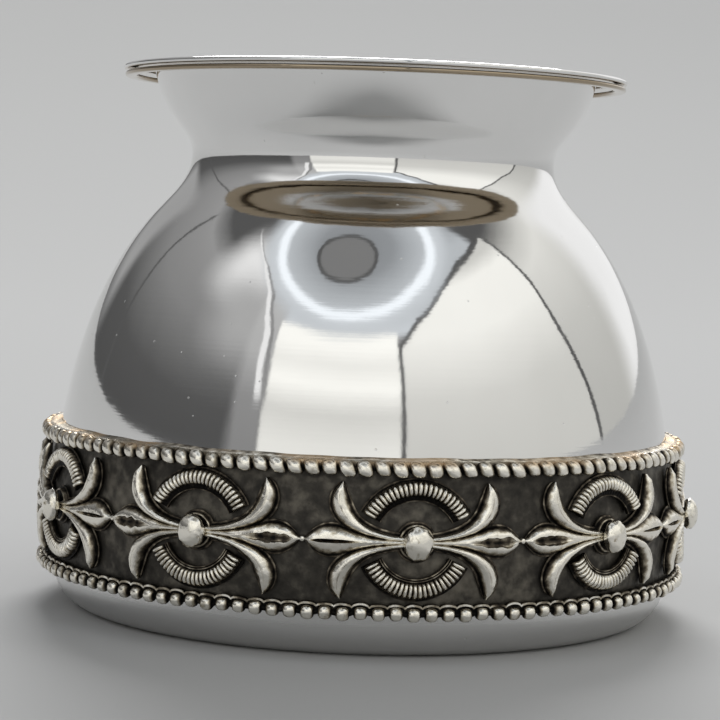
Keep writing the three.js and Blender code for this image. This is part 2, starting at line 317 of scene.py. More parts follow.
def vessel():
    """The vessel in one sheet, from its flat base over the flange and back down the inside."""
    heel_centre = (BASE_RADIUS, HEEL_RADIUS)
    outer = arc(heel_centre, HEEL_RADIUS, -90, 0, HEEL_STEPS)[:-1] + wall_curve
    inner = arc(heel_centre, HEEL_RADIUS - WALL, -90, 0, HEEL_STEPS)[:-1] + wall_inside()
    half = FLANGE_THICKNESS / 2
    edge = arc((FLANGE_RADIUS - half, POT_HEIGHT - half), half, -90, 90, EDGE_STEPS)
    fillet_centre = (THROAT_RADIUS - WALL + THROAT_FILLET, POT_HEIGHT - THROAT_FILLET)
    fillet = arc(fillet_centre, THROAT_FILLET, 90, 180, FILLET_STEPS)
    middle = BASE_RADIUS / 2
    outline = [(0, 0), (middle, 0), *outer, *edge, *fillet, *reversed(inner), (middle, WALL), (0, WALL)]
    return turned("pot_body_fine", outline, False)


def lip_wire():
    """A flat wire with rounded edges under the flange."""
    half = LIP_WIRE_THICKNESS / 2
    middle = FLANGE_UNDERSIDE - SEAT - half
    outside = FLANGE_RADIUS - LIP_WIRE_INSET
    outline = arc((outside - half, middle), half, -90, 90, EDGE_STEPS)
    outline += arc((outside - LIP_WIRE_WIDTH + half, middle), half, 90, 270, EDGE_STEPS)
    return turned("lip_wire_fine", outline, True)


def strip_section(a):
    """The backing strip cut at an angle: up its slightly uneven outside and down its inside."""
    outside = []
    inside = []
    for k in range(STRIP_LEVELS + 1):
        z = BAND_HEIGHT + STRIP_HEIGHT * (k / STRIP_LEVELS - 0.5)
        r = strip_radius(z)
        dip = 0.0
        if 0 < k < STRIP_LEVELS:
            dip = STRIP_DIP * (1 + noise.noise(Vector(around(r, a, z)) / MM * 0.9))
        outside.append((r - dip, z))
        if k % STRIP_INSIDE_EVERY == 0:
            inside.append((r - STRIP_THICKNESS, z))
    return outside + inside[::-1]


def band_strip():
    """The backing strip, with its butt joint at the back between two motifs."""
    seam = STRIP_SEAM / BAND_RADIUS
    start = math.pi - math.pi / MOTIF_COUNT + seam / 2
    points = []
    for i in range(STRIP_STEPS + 1):
        a = start + (2 * math.pi - seam) * i / STRIP_STEPS
        section = strip_section(a)
        points += [around(r, a, z) for r, z in section]
    columns = len(section)
    faces = quads(STRIP_STEPS + 1, columns, False, True)
    faces.append(tuple(range(columns)))
    faces.append(tuple(range(STRIP_STEPS * columns, (STRIP_STEPS + 1) * columns)))
    return make_object("band_strip_fine", points, faces)


class Relief:
    """A mesh in the making on the band: bodies whose rows hold (u, v, w, polish), where the polish also
    carries painted shade.
    """

    def __init__(self):
        self.points = []
        self.faces = []
        self.polish_and_shade = []

    def body(self, rows, ring=False, lowest=0.0):
        """Adds a closed body. Its rows close on themselves, and a ring's last row meets its first."""
        first = len(self.points)
        columns = len(rows[0])
        for row in rows:
            for u, v, w, bright in row:
                self.points.append(on_band(u, v, max(w, lowest)))
                self.polish_and_shade.append(min(1.0, max(0.0, bright)))
        self.faces += [tuple(first + k for k in f) for f in quads(len(rows), columns, ring, True)]
        if not ring:
            last = first + (len(rows) - 1) * columns
            self.faces.append(tuple(range(first, first + columns)))
            self.faces.append(tuple(range(last, last + columns)))

    def dome(self, u, v, profile, sides, lump=0.0, seed=0.0, tall=1.0):
        """Adds a round or upright oval body; its profile of (radius, w, polish) runs from foot to crown,
        the polish also carrying painted shade.
        """
        rows = []
        for r, w, bright in profile:
            row = []
            for j in range(sides):
                a = 2 * math.pi * j / sides
                across = Vector((r * math.cos(a), r * math.sin(a), w + seed))
                size = r * (1 + lump * noise.noise(across * 1.7) + 0.6 * lump * noise.noise(across * 4.1))
                wear = 1 - 2.5 * lump * ease(0.1, 0.4, noise.noise(across * 2.3))
                row.append((u + size * math.cos(a), v + size * tall * math.sin(a), w, bright * wear))
            rows.append(row)
        self.body(rows)

    def make(self, name):
        return make_object(name, self.points, self.faces, self.polish_and_shade)


# One bead along its wire: offset in shares of half a pitch, and girth as a share of the full bead.
BEAD_ROWS = [
    (-1.0, 0.34), (-0.9, 0.36), (-0.84, 0.56), (-0.7, 0.78), (-0.42, 0.95), (0.0, 1.0),
    (0.42, 0.95), (0.7, 0.78), (0.84, 0.56), (0.9, 0.36),
]


def beaded_wire(v, half_height, spread, slant, seed):
    """One wire rolled into beads, which lean by slant. It is flat at the back, where it is soldered."""
    dice = random.Random(seed)
    wire = Relief()
    rows = []
    for bead in range(BEAD_COUNT):
        size = 1 - BEAD_SHRINK * dice.random()
        lift = BEAD_LIFT * (dice.random() - 0.5)
        lean = slant * (0.5 + dice.random())
        wear = 1 - BEAD_WEAR * dice.random()
        for place, share in BEAD_ROWS:
            girth = share * size
            row = []
            for j in range(BEAD_SIDES):
                b = 2 * math.pi * j / BEAD_SIDES
                out = BEAD_AXIS * (0.5 + 0.5 * girth) + BEAD_HALF_DEPTH * girth * math.cos(b)
                up = half_height * girth * math.sin(b)
                u = BEAD_PITCH * (bead + 0.5 * spread * place) - lean * up
                # Darker between the beads and towards the back, where a bead meets the strip: patina and
                # painted shade together.
                bright = wear * ease(0.45, 0.9, girth) * ease(0.15, 0.95, out)
                row.append((u, v + up + lift, out, bright))
            rows.append(row)
    wire.body(rows, ring=True)
    return wire


def scalloped_edge(wire, v, seed):
    """A thin wavy plate that shows above the lower beads."""
    per_bead = 10
    lowest_top = v + 0.66
    cup_height = 0.26
    raggedness = 0.12
    rows = []
    for i in range(BEAD_COUNT * per_bead):
        cup = abs(math.cos(math.pi * i / per_bead)) ** 0.5
        uneven = noise.noise(Vector((0.9 * i / per_bead, seed, 0.0)))
        top = lowest_top + cup_height * cup + raggedness * uneven
        worn = 0.62 + 0.4 * uneven
        u = BEAD_PITCH * i / per_bead
        # Dark low down behind the beads and at the back as painted shade; the top edge keeps its random
        # wear.
        rows.append([
            (u, v, 0.0, 0.0),
            (u, v, 0.34, 0.0),
            (u, top - 0.34, 0.36, 0.05),
            (u, top - 0.24, 0.46, worn),
            (u, top - 0.06, 0.44, worn),
            (u, top, 0.3, 0.2),
            (u, top, 0.0, 0.0),
        ])
    wire.body(rows, ring=True)


def solder_line(wire, v, seed):
    """The uneven fillet of solder behind the upper beads, over the strip's top edge and up to the wall."""
    per_bead = 4
    mean_top = v + 0.78
    raggedness = 0.14
    strip_top = STRIP_HEIGHT / 2 + SOLDER_GAP
    wall = SOLDER_GAP - 2 * SEAT - STRIP_THICKNESS
    rows = []
    for i in range(BEAD_COUNT * per_bead):
        uneven = noise.noise(Vector((0.35 * i / per_bead, seed, 0.0)))
        top = mean_top + raggedness * uneven
        u = BEAD_PITCH * i / per_bead
        # Dark at its foot behind the beads and where it meets the strip's top, as painted shade.
        rows.append([
            (u, v, 0.0, 0.0),
            (u, v, 0.3, 0.0),
            (u, top - 0.16, 0.36, 0.5),
            (u, top - 0.04, 0.2, 0.7),
            (u, top, -0.1, 0.6),
            (u, top + 0.02, 0.5 * wall, 0.5),
            (u, top + 0.16, wall, 0.4),
            (u, strip_top, wall, 0.0),
            (u, strip_top, 0.0, 0.0),
        ])
    wire.body(rows, ring=True, lowest=wall)


def spine_at(spine, t):
    """A point of a petal's spine, and the direction across the petal there."""
    x, y = bezier(spine, t)
    ahead = bezier(spine, min(1.0, t + 0.01))
    behind = bezier(spine, max(0.0, t - 0.01))
    run = math.hypot(ahead[0] - behind[0], ahead[1] - behind[1])
    return x, y, (behind[1] - ahead[1]) / run, (ahead[0] - behind[0]) / run


def petal_section(half, plate, top, gap, slit, opening, slit_depth):
    """A petal cut across, from one edge over the ridge to the other: (distance, height, polish). Its polish
    darkens down the sides, at its foot on the plate and into an open slit, patina and painted shade
    together.
    """
    roof = half - gap
    dip = slit_depth * opening
    side = [
        (plate, 0.0, 0.0),
        (plate, 0.7 * PLATE_RISE, 0.25),
        (plate - 0.08, PLATE_RISE, 0.36),
        (half + 0.03, PLATE_RISE, 0.0),
        (half, PLATE_RISE, 0.0),
        (0.97 * half, 0.4 * top, 0.2),
        (half - 0.16 * roof, 0.58 * top, 0.42),
        (half - 0.42 * roof, 0.8 * top, 0.72),
        (half - 0.72 * roof, 0.94 * top, 0.94),
        (gap, top * (1 - 0.12 * slit), 1.0),
        (0.75 * gap, top * 0.99 - 0.7 * dip, 1.0 - 0.6 * opening),
    ]
    ridge = (0.0, top - dip, 1.0 - 0.9 * opening * bool(slit_depth))
    return [(-across, w, bright) for across, w, bright in side] + [ridge] + side[::-1]


def petal(relief, spine, swell, blunt, rise, seed, slit=CLOSED_SLIT, slit_depth=0.0):
    """A petal with a rounded roof on a thin plate; a slit can open along its ridge."""
    rows = []
    for t in shares(PETAL_STEPS):
        x, y, nx, ny = spine_at(spine, t)
        half = STEM_HALF_WIDTH - STEM_TAPER * t + swell * math.sin(math.pi * t**SWELL_POWER) ** blunt
        plate = half + PLATE_REACH * math.sqrt(1 - t**8)
        top = rise * (0.8 + 0.2 * math.sin(math.pi * t)) * (1 - 0.45 * ease(0.93, 1.0, t))
        opening = ease(0.34, 0.62, t) * (1 - ease(0.84, 0.96, t))
        ragged = 1 + 1.6 * slit * noise.noise(Vector((16 * t, seed, 0.0)))
        gap = half * (CLOSED_SLIT + (slit - CLOSED_SLIT) * opening * ragged)
        row = []
        for across, w, bright in petal_section(half, plate, top, gap, slit, opening, slit_depth):
            u = x + nx * across
            v = y + ny * across
            if w > PLATE_RISE:
                w += PETAL_WAVE * noise.noise(Vector((1.3 * u, 1.3 * v, seed)))
            row.append((u, v, w, bright))
        rows.append(row)
    relief.body(rows)


# The hub's collar: radius and height as shares of the hub's, and polish, which is 0 in its groove and in
# the recess under the granule as painted shade.
COLLAR = [
    (1.17, 0.0, 0.0), (1.17, 0.22, 0.15), (1.12, 0.28, 0.3), (1.02, 0.28, 0.0), (1.0, 0.4, 0.2),
    (0.98, 0.9, 0.42), (0.92, 1.0, 0.56), (0.86, 0.95, 0.3), (0.82, 0.8, 0.0), (0.1, 0.8, 0.0),
]
# The small dot between two motifs: radius, height and polish, darker at its foot as painted shade.
DOT = [(0.3, 0.0, 0.1), (0.3, 0.25, 0.6), (0.22, 0.42, 1.0), (0.05, 0.5, 1.0)]


def leaf_cross(name, seed):
    """Four curved leaves and two pointed lobes round a hub collar."""
    dice = random.Random(seed)
    relief = Relief()
    root = LEAF_PULLS[0][0]
    for across in (-1, 1):
        for up in (-1, 1):
            spine = [(across * u, up * v) for u, v in LEAF_PULLS]
            pattern = dice.random() * PATTERN_REACH
            petal(relief, spine, LEAF_SWELL, LEAF_BLUNT, LEAF_RISE, pattern)
        slit = dice.choice(LOBE_SLITS)
        slit_depth = 0.35 + 0.2 * dice.random()
        pattern = dice.random() * PATTERN_REACH
        lobe = [(across * (root + share * (LOBE_REACH - root)), 0.0) for share in shares(3)]
        petal(relief, lobe, LOBE_SWELL, LOBE_BLUNT, LOBE_RISE, pattern, slit, slit_depth)
    collar = [(HUB_RADIUS * r, HUB_THICKNESS * w, bright) for r, w, bright in COLLAR]
    relief.dome(0, 0, collar, COLLAR_SIDES, lump=COLLAR_LUMP, seed=seed)
    relief.dome(math.pi * BAND_RADIUS / MOTIF_COUNT, 0, DOT, DOT_SIDES)
    return relief.make(name)


def boss(name, seed):
    """The granule on the hub, a little hammered, flat where it is soldered down."""
    relief = Relief()
    half_height = BOSS_RISE / (1 + math.sin(BOSS_FOOT_ANGLE))
    profile = []
    for share in shares(BOSS_STEPS):
        a = -BOSS_FOOT_ANGLE + (math.pi / 2 + BOSS_FOOT_ANGLE) * share * 0.985
        out = half_height * (math.sin(a) + math.sin(BOSS_FOOT_ANGLE))
        # Darker towards the foot, where the granule sits on the hub: patina and painted shade together.
        profile.append((BOSS_RADIUS * math.cos(a), HUB_THICKNESS + SEAT + out, ease(-0.2, 0.35, out)))
    pattern = seed * BOSS_PATTERN_STEP
    relief.dome(0, 0, profile, BOSS_SIDES, lump=BOSS_LUMP, seed=pattern, tall=BOSS_TALL)
    return relief.make(name)


# Sections of the ribbed arcs: radius, height, polish, and how deep the ribs cut there. The polish is 0 at
# the feet and on the ledge inside the ribs, patina and painted shade together.
UPPER_ARC = [
    (6.06, 0.0, 0.0, 0), (6.06, 0.12, 0.2, 0), (5.99, 0.16, 0.3, 0), (5.84, 0.16, 0.0, 0),
    (5.8, 0.3, 0.3, 0.3), (5.68, 0.7, 0.9, 0.9), (5.4, 0.96, 1.0, 1), (5.1, 1.0, 1.0, 1),
    (4.8, 0.94, 1.0, 1), (4.56, 0.8, 0.8, 0.9), (4.44, 0.6, 0.2, 0.5), (4.3, 0.44, 0.0, 0.1),
    (4.0, 0.3, 0.0, 0), (3.95, 0.36, 0.3, 0), (3.88, 0.34, 0.34, 0), (3.85, 0.0, 0.0, 0),
]
LOWER_ARC = [
    (5.7, 0.0, 0.0, 0), (5.7, 0.12, 0.1, 0), (5.5, 0.16, 0.0, 0), (5.45, 0.3, 0.3, 0.3),
    (5.34, 0.7, 0.9, 0.9), (5.08, 0.96, 1.0, 1), (4.7, 1.0, 1.0, 1), (4.3, 0.92, 1.0, 1),
    (4.06, 0.76, 0.8, 0.9), (3.95, 0.5, 0.1, 0.3), (3.86, 0.4, 0.0, 0), (3.82, 0.48, 0.4, 0),
    (3.74, 0.48, 0.5, 0), (3.7, 0.36, 0.0, 0), (3.64, 0.36, 0.1, 0), (3.6, 0.44, 0.36, 0),
    (3.52, 0.42, 0.4, 0), (3.5, 0.0, 0.0, 0),
]


def ribbed_arc(name, side, section, ribs, half_span, seed):
    """A ribbed arc above (side 1) or below (side -1) the hub, over half_span degrees to each side."""
    dice = random.Random(seed)
    relief = Relief()
    depths = [RIB_DEPTH * (0.8 + 0.4 * dice.random()) for _ in range(ribs + 1)]
    starts = [0.24 * (dice.random() - 0.5) for _ in range(ribs + 1)]
    rows = []
    for i in range(ribs * RIB_STEPS + 1):
        rib, part = divmod(i, RIB_STEPS)
        valley = 1 - math.sin(math.pi * part / RIB_STEPS) ** 0.6
        shift = starts[rib] if part == 0 else 0.0
        a = side * math.pi / 2 + math.radians(half_span) * (1 - 2 * (i + shift) / (ribs * RIB_STEPS))
        row = []
        for r, w, bright, ribbed in section:
            cut = valley * ribbed
            # Each rib valley darkens with its depth: patina and painted shade together.
            row.append((r * math.cos(a), r * math.sin(a), w - depths[rib] * cut, bright * (1 - 0.95 * cut)))
        rows.append(row)
    relief.body(rows)
    return relief.make(name)


def upper_arc(name, seed):
    return ribbed_arc(name, 1, UPPER_ARC, UPPER_RIBS, UPPER_HALF_SPAN, seed)


def lower_arc(name, seed):
    return ribbed_arc(name, -1, LOWER_ARC, LOWER_RIBS, LOWER_HALF_SPAN, seed)


class Nodes:
    """A node tree under construction, with its main shader."""

    def __init__(self, owner, main):
        owner.use_nodes = True
        self.owner = owner
        self.tree = owner.node_tree
        self.main = self.tree.nodes[main]

    def node(self, kind, **settings):
        """Adds a node. Each setting is one of its inputs, or else one of its own properties."""
        made = self.tree.nodes.new(kind)
        for key, value in settings.items():
            if key in made.inputs:
                made.inputs[key].default_value = value
            else:
                setattr(made, key, value)
        return made

    def link(self, start, end):
        self.tree.links.new(start, end)

    def feed(self, name, source):
        """Feeds one of the main shader's inputs."""
        self.link(source, self.main.inputs[name])

    def ramp(self, source, stops):
        """Maps a value to the colours at given places."""
        made = self.node("ShaderNodeValToRGB")
        elements = made.color_ramp.elements
        while len(elements) < len(stops):
            elements.new(0.5)
        for element, (place, colour) in zip(elements, stops):
            element.position = place
            element.color = (*colour, 1.0)
        self.link(source, made.inputs["Fac"])
        return made.outputs["Color"]

    def math(self, operation, a, b=0.0):
        """Works out a number from one or two, each a value or another node's output."""
        made = self.node("ShaderNodeMath", operation=operation)
        for socket, value in zip(made.inputs, (a, b)):
            if isinstance(value, (int, float)):
                socket.default_value = value
            else:
                self.link(value, socket)
        return made.outputs["Value"]

    def times(self, first, *others):
        """The product of values, such as masks that all have to hold."""
        for other in others:
            first = self.math("MULTIPLY", first, other)
        return first

    def ease(self, value, low, high, start=0.0, end=1.0):
        """Runs smoothly from start to end while the value runs from low to high."""
        made = self.node("ShaderNodeMapRange", interpolation_type="SMOOTHSTEP")
        for key, number in zip(("From Min", "From Max", "To Min", "To Max"), (low, high, start, end)):
            made.inputs[key].default_value = number
        self.link(value, made.inputs["Value"])
        return made.outputs["Result"]

    def fade(self, value, low, high):
        """1 below low and 0 above high, smooth between."""
        return self.ease(value, low, high, 1.0, 0.0)

    def mix(self, factor, a, b):
        """Lays colour b over colour a where the factor is 1."""
        made = self.node("ShaderNodeMix", data_type="RGBA")
        self.link(factor, made.inputs["Factor"])
        for name, value in (("A", a), ("B", b)):
            socket = next(s for s in made.inputs if s.name == name and s.type == "RGBA")
            if isinstance(value, tuple):
                socket.default_value = (*value, 1.0)
            else:
                self.link(value, socket)
        return next(s for s in made.outputs if s.type == "RGBA")

    def place(self, stretch):
        """The place on the object, in metres, stretched along each axis."""
        mapping = self.node("ShaderNodeMapping", Scale=stretch)
        self.link(self.node("ShaderNodeTexCoord").outputs["Object"], mapping.inputs["Vector"])
        return mapping.outputs["Vector"]

    def height(self):
        """Height above the base in metres."""
        axes = self.node("ShaderNodeSeparateXYZ")
        self.link(self.node("ShaderNodeTexCoord").outputs["Object"], axes.inputs["Vector"])
        return axes.outputs["Z"]

    def axis_distance(self):
        """Distance from the pot's axis in metres."""
        length = self.node("ShaderNodeVectorMath", operation="LENGTH")
        self.link(self.place((1, 1, 0)), length.inputs[0])
        return length.outputs["Value"]

    def noise(self, scale, detail=4.0, stretch=(1, 1, 1)):
        """Noise whose scale is in patches to a metre."""
        made = self.node("ShaderNodeTexNoise", Scale=scale, Detail=detail)
        self.link(self.place(stretch), made.inputs["Vector"])
        return made.outputs["Fac"]

    def spots(self, scale, reach):
        """1 in small scattered round spots, 0 elsewhere."""
        made = self.node("ShaderNodeTexVoronoi", Scale=scale)
        self.link(self.place((1, 1, 1)), made.inputs["Vector"])
        return self.fade(made.outputs["Distance"], 0.6 * reach, reach)

    def bump(self, height, distance, below=None):
        """A bump of a distance in metres, on top of the one below it."""
        made = self.node("ShaderNodeBump", Distance=distance)
        self.link(height, made.inputs["Height"])
        if below is not None:
            self.link(below, made.inputs["Normal"])
        return made.outputs["Normal"]


def shader(name):
    return Nodes(bpy.data.materials.new(name), "Principled BSDF")


def grey(level):
    return (level, level, level)


# Where a finish, a painted shade or a colour starts or ends on the pot, in metres: each pair is one soft
# edge.
SATIN_TOP = (0.003, 0.006)
BROWN_INNER_EDGE = (0.0239, 0.0243)
BROWN_BOTTOM = (0.054, 0.055)
BROWN_TOP = (0.05692, 0.05704)
SOLDER_BOTTOM = (0.0186, 0.0192)

SATIN_ROUGHNESS = 0.24  # on top of the polished metal's own

# Colours, the lists by place on a ramp.
CLEAN_SILVER = [(0.3, (0.82, 0.817, 0.81)), (0.7, (0.88, 0.877, 0.87))]
# The bottom's silver, darkened as painted shade.
SHADED_BOTTOM_SILVER = (0.68, 0.677, 0.67)
# Brown for under the flange.
FLANGE_BROWN = (0.4, 0.33, 0.24)
SOLDER = (0.6, 0.45, 0.29)
OXIDE = [(0.3, (0.036, 0.033, 0.029)), (0.55, (0.064, 0.058, 0.049)), (0.95, (0.19, 0.172, 0.14))]
# Dark to bright: patina in the hollows, whose dark end also serves as painted shade, up to clean silver.
PATINA_AND_SHADE = [
    (0.08, (0.014, 0.013, 0.012)), (0.36, (0.12, 0.1, 0.076)), (0.58, (0.46, 0.41, 0.32)),
    (0.82, (0.93, 0.895, 0.81)),
]


def spun_surface(s):
    """Soft hammer waves, spinning lines, grain and scattered pits, each laid over the last."""
    waves = s.noise(scale=240.0, detail=1.0, stretch=(1, 1, 0.4))
    lines = s.noise(scale=30.0, detail=8.0, stretch=(1, 1, 90))
    grain = s.noise(scale=1500.0, detail=2.0)
    pits = s.spots(scale=420.0, reach=0.05)
    waved = s.bump(waves, distance=0.00003)
    lined = s.bump(lines, distance=0.0000025, below=waved)
    grained = s.bump(grain, distance=0.0000016, below=lined)
    return s.bump(pits, distance=-0.00003, below=grained)


def polished_silver():
    """Mirror-polished spun silver, satin below the band with its colour darkened there as painted shade,
    and brown under the flange.
    """
    s = shader("polished_silver")
    height = s.height()
    smudge = s.noise(scale=60.0, detail=6.0)
    # Satin and rougher at the bottom, where the colour is also darkened as painted shade.
    satin_and_shade = s.fade(height, *SATIN_TOP)
    bright = s.mix(satin_and_shade, s.ramp(smudge, CLEAN_SILVER), SHADED_BOTTOM_SILVER)
    # Browner under the flange and on the lip wire below it.
    flange = s.times(s.ease(s.axis_distance(), *BROWN_INNER_EDGE), s.ease(height, *BROWN_BOTTOM))
    flange_brown = s.times(flange, s.fade(height, *BROWN_TOP))
    s.feed("Base Color", s.mix(flange_brown, bright, FLANGE_BROWN))
    polished = s.ease(smudge, 0.2, 0.8, start=0.035, end=0.07)
    s.feed("Roughness", s.math("ADD", polished, s.times(satin_and_shade, SATIN_ROUGHNESS)))
    s.main.inputs["Metallic"].default_value = 1.0
    s.main.inputs["Anisotropic"].default_value = 0.5
    s.main.inputs["Anisotropic Rotation"].default_value = 0.25
    turning = s.node("ShaderNodeTangent", direction_type="RADIAL", axis="Z")
    s.feed("Tangent", turning.outputs["Tangent"])
    s.feed("Normal", spun_surface(s))
    return s.owner


def oxidised_silver():
    """The strip's near-black ground, mottled and slightly rough, with lighter worn patches."""
    s = shader("oxidised_silver")
    mottle = s.noise(scale=900.0, detail=9.0)
    worn = s.ease(s.noise(scale=110.0, detail=3.0), 0.42, 0.72, start=0.0, end=0.3)
    level = s.math("ADD", mottle, worn)
    s.feed("Base Color", s.ramp(level, OXIDE))
    s.feed("Roughness", s.ease(level, 0.3, 0.8, start=0.62, end=0.4))
    s.main.inputs["Metallic"].default_value = 0.75
    s.feed("Normal", s.bump(mottle, distance=0.0001))
    return s.owner


def relief_silver():
    """Silver rubbed bright on the high spots, with dark patina left in the crevices and brown between; the
    polish that sets this also carries painted shade in crevices, gaps and under parts.
    """
    s = shader("bright_relief_silver")
    polish_and_shade = s.node("ShaderNodeAttribute", attribute_name="polish_and_shade").outputs["Fac"]
    mottle = s.noise(scale=1300.0, detail=5.0)
    patch = s.times(s.math("SUBTRACT", mottle, 0.5), 1.1)
    level = s.math("ADD", polish_and_shade, patch)
    stain = s.ease(s.noise(scale=160.0, detail=3.0), 0.4, 0.6)
    solder = s.times(s.ease(s.height(), *SOLDER_BOTTOM), stain)
    s.feed("Base Color", s.mix(solder, s.ramp(level, PATINA_AND_SHADE), SOLDER))
    s.feed("Roughness", s.ease(level, 0.2, 0.8, start=0.6, end=0.2))
    s.main.inputs["Metallic"].default_value = 1.0
    s.feed("Normal", s.bump(mottle, distance=0.00009))
    return s.owner


def dress(piece, node, material):
    """Gives a piece its material and its body, and hides the frame's node that it stands in for."""
    piece.data.materials.append(material)
    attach(piece, "root")
    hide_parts(node)


SILVER = polished_silver()
DARK = oxidised_silver()
RELIEF = relief_silver()


def motif(i):
    """The four pieces of one motif, each with the node that it replaces."""
    number = f"{i + 1:02d}"
    upper = f"upper_crescent_{number}"
    lower = f"lower_crescent_{number}"
    return [
        (leaf_cross(f"leaf_cross_{number}_fine", LEAF_SEED + i), f"leaf_cross_{number}"),
        (boss(f"boss_{number}_fine", BOSS_SEED + i), f"boss_{number}"),
        (upper_arc(f"{upper}_fine", UPPER_ARC_SEED + i), upper),
        (lower_arc(f"{lower}_fine", LOWER_ARC_SEED + i), lower),
    ]


dress(vessel(), "pot_body", SILVER)
dress(lip_wire(), "lip_wire", SILVER)
dress(band_strip(), "band_strip", DARK)

upper_beads = beaded_wire(BEAD_INSET, half_height=0.82, spread=1.04, slant=0.28, seed=UPPER_BEADS_SEED)
solder_line(upper_beads, BEAD_INSET, SOLDER_SEED)
dress(upper_beads.make("upper_beads_fine"), "upper_beaded_wire", RELIEF)

lower_line = -BEAD_INSET - LOWER_BEAD_DROP
lower_beads = beaded_wire(lower_line, half_height=0.69, spread=0.86, slant=0.0, seed=LOWER_BEADS_SEED)
scalloped_edge(lower_beads, -BEAD_INSET, SCALLOP_SEED)
dress(lower_beads.make("lower_beads_fine"), "lower_beaded_wire", RELIEF)

for i in range(MOTIF_COUNT):
    turn = Matrix.Rotation(2 * math.pi * i / MOTIF_COUNT, 4, "Z")
    for piece, node in motif(i):
        piece.data.transform(turn)
        dress(piece, node, RELIEF)


# Camera, fitted to the photograph's viewing angle: its place in millimetres and its angles in radians.
CAMERA_DISTANCE = 247.0
CAMERA_HEIGHT = 42.6
CAMERA_PITCH = -0.065
CAMERA_YAW = -0.0027
CAMERA_ROLL = 0.0344
LENS = 113.8
SENSOR_WIDTH = 36.0
CLIP_START = 0.01  # metres
CLIP_END = 20.0
PHOTO_TURN = math.radians(8.9)  # how far the photographed motif stands to the right of the viewer


def camera():
    """The photographer's camera, carried round the pot until the motifs stand as they do there."""
    data = bpy.data.cameras.new("camera")
    data.lens = LENS
    data.sensor_width = SENSOR_WIDTH
    data.clip_start = CLIP_START
    data.clip_end = CLIP_END
    made = add_object("camera", data)
    level = Vector((math.sin(CAMERA_YAW), math.cos(CAMERA_YAW), 0))
    forward = level * math.cos(CAMERA_PITCH) + Vector((0, 0, math.sin(CAMERA_PITCH)))
    right = level.cross(Vector((0, 0, 1)))
    up = right.cross(forward)
    x = right * math.cos(CAMERA_ROLL) + up * math.sin(CAMERA_ROLL)
    y = up * math.cos(CAMERA_ROLL) - right * math.sin(CAMERA_ROLL)
    aim = Matrix((x, y, -forward)).transposed().to_4x4()
    place = Matrix.Translation((0, -CAMERA_DISTANCE * MM, CAMERA_HEIGHT * MM))
    made.matrix_world = Matrix.Rotation(-PHOTO_TURN, 4, "Z") @ place @ aim
    bpy.context.scene.camera = made


# The floor, in metres: flat out to its radius, and from there the backdrop curves up.
FLOOR_COLOUR = grey(0.5)
FLOOR_ROUGHNESS = 0.9
FLOOR_CENTRE = 0.05
FLOOR_RADIUS = 0.6
BACKDROP_REACH = 1.8
BACKDROP_HEIGHT = 0.3
BACKDROP_STEPS = 16
FLOOR_SIDES = 96


def floor():
    """A pale floor that curves up into its own backdrop all round."""
    outline = [(FLOOR_CENTRE, 0.0), (FLOOR_RADIUS / 2, 0.0), (FLOOR_RADIUS, 0.0)]
    for share in shares(BACKDROP_STEPS)[1:]:
        outline.append((FLOOR_RADIUS + BACKDROP_REACH * share, BACKDROP_HEIGHT * share * share))
    points = []
    for r, z in outline:
        for j in range(FLOOR_SIDES):
            a = 2 * math.pi * j / FLOOR_SIDES
            points.append((r * math.cos(a), r * math.sin(a), z))
    faces = quads(len(outline), FLOOR_SIDES, False, True) + [tuple(reversed(range(FLOOR_SIDES)))]
    mesh = bpy.data.meshes.new("floor")
    mesh.from_pydata(points, [], faces)
    mesh.shade_smooth()
    made = add_object("floor", mesh)
    s = shader("floor")
    s.main.inputs["Base Color"].default_value = (*FLOOR_COLOUR, 1)
    s.main.inputs["Roughness"].default_value = FLOOR_ROUGHNESS
    mesh.materials.append(s.owner)


def toward(azimuth, elevation):
    """Unit direction from the pot, by degrees: azimuth 0 is the viewer's side, positive to the right."""
    a = math.radians(azimuth)
    e = math.radians(elevation)
    return Vector((math.sin(a) * math.cos(e), -math.cos(a) * math.cos(e), math.sin(e)))


# The studio's light by direction, in degrees. A level of 1 is white.
# Levels by elevation, for the room and each panel.
ROOM = [(0, 0.07), (16, 0.1), (30, 0.26), (44, 0.34), (50, 0.1), (64, 0.1), (80, 0.2)]
CENTRE_PANEL = [(12, 0.9), (19, 0.74), (25, 1.12), (30, 0.96), (35, 1.14)]
CENTRE_EDGE = [(4, 0.25), (20, 0.3), (30, 0.5), (44, 0.55)]
RIGHT_PANEL = [(0, 0.62), (22, 0.72), (37, 1.03), (50, 1.06), (55, 0.7)]
BACK_PANEL = [(0, 0.5), (25, 0.63), (42, 0.83), (48, 0.66), (54, 0.3)]
CEILING = [(40, 0.74), (50, 0.6), (62, 0.58), (70, 0.4), (90, 0.3)]
# Levels by the angle from a centre, for the ring lamp and the dark eye in it.
RING = [(0, 0.28), (12, 0.34), (22, 0.6), (23.5, 1.15), (25, 1.15), (26.5, 0.74), (31, 0.64)]
RING_EYE = [(0, 0.22), (8.6, 0.22), (9.2, 0.1), (10.2, 0.1)]
RING_AIM = (-12, 67.7)
RING_EYE_AIM = (-16.6, 64)
# Slanting edges.
RIGHT_PANEL_TOP = [(15, 35), (25, 42), (40, 50), (60, 56), (90, 59)]  # degrees to the right, elevation
LEFT_EDGE = [(20, 42), (35, 45), (45, 52), (52, 65), (58, 90)]  # elevation, degrees to the left
# Single levels and tints.
JOINT = grey(0.1)
OVERHEAD = grey(0.25)
WARM = (1.0, 0.995, 0.95)
COOL = (0.93, 0.98, 1.03)
NEUTRAL = (1.0, 1.0, 1.0)

KEY_AIM = (180, 38)
KEY_ANGLE = math.radians(30)  # width of the lamp as the pot sees it, which softens its shadow
KEY_STRENGTH = 2.3


